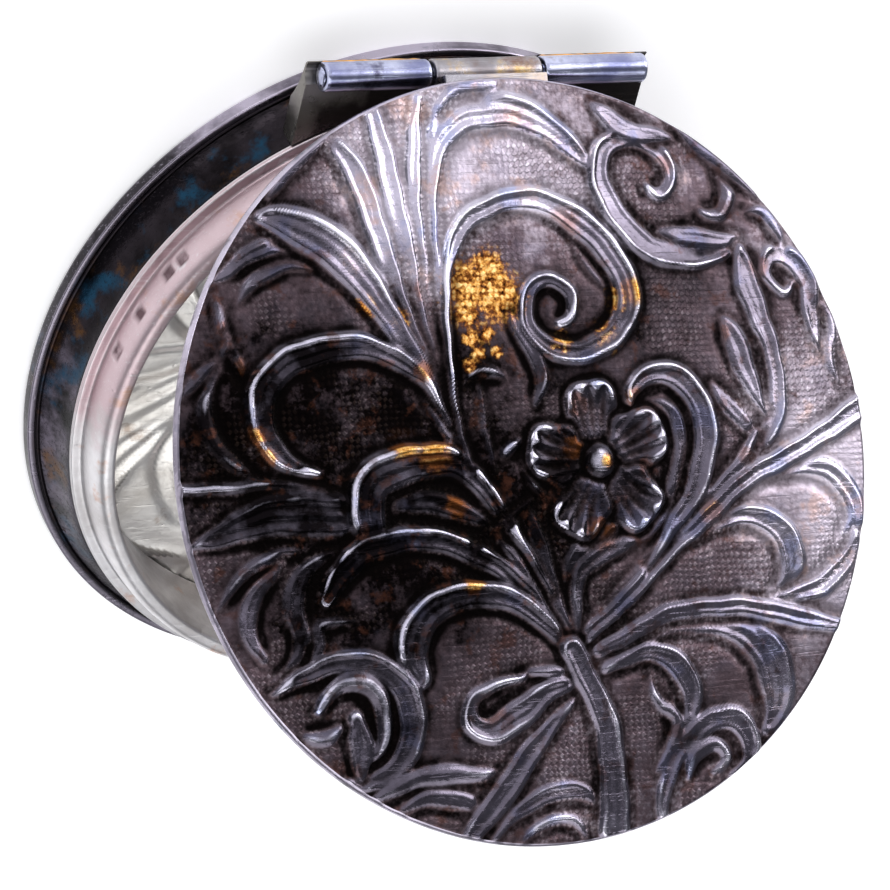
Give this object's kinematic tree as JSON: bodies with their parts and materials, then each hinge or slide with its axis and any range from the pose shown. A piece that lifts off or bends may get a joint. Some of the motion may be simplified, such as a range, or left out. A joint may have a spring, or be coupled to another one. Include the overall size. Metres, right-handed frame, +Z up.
{
  "type": "pill box",
  "caption": "Round hinged silver pill box with a scroll-and-flower stamped lid, standing open, and a plain waisted base with a raised inner collar.",
  "frame": {"origin": "centre of the base's flat underside, on the axis of the round base", "axes": "+Z up through the base, +Y towards the hinge at the back, +X along the hinge axis"},
  "size_m": [0.0402, 0.0417, 0.0325],
  "materials": {
    "oxidised_relief_silver": "stamped silver, bright on the raised scrolls and oxidised brown-black in the ground",
    "dark_polished_silver": "polished silver gone almost black with tarnish, brown and blue in patches",
    "bezel_silver": "rubbed bright silver with a pinkish tarnish",
    "floor_silver": "satin silver, slightly yellowed, with stamped creases",
    "hinge_silver": "smooth tube, blue-grey tarnish over silver"
  },
  "bodies": {
    "base": {"base_floor": "floor_silver", "base_wall": "dark_polished_silver", "base_bezel": "bezel_silver", "base_hinge_bearer": "dark_polished_silver", "hinge_knuckle_left": "hinge_silver", "hinge_knuckle_right": "hinge_silver", "hinge_pin": "hinge_silver"},
    "lid": {"lid_plate": "oxidised_relief_silver", "lid_wall": "dark_polished_silver", "lid_hinge_bearer": "hinge_silver", "hinge_knuckle_centre": "hinge_silver"}
  },
  "joints": [
    {"name": "lid_hinge", "type": "hinge", "parent": "base", "child": "lid", "pos_m": [0, 0.02056, 0.00425], "axis": [-1, 0, 0], "range_deg": [-40.7, 74.3]}
  ]
}
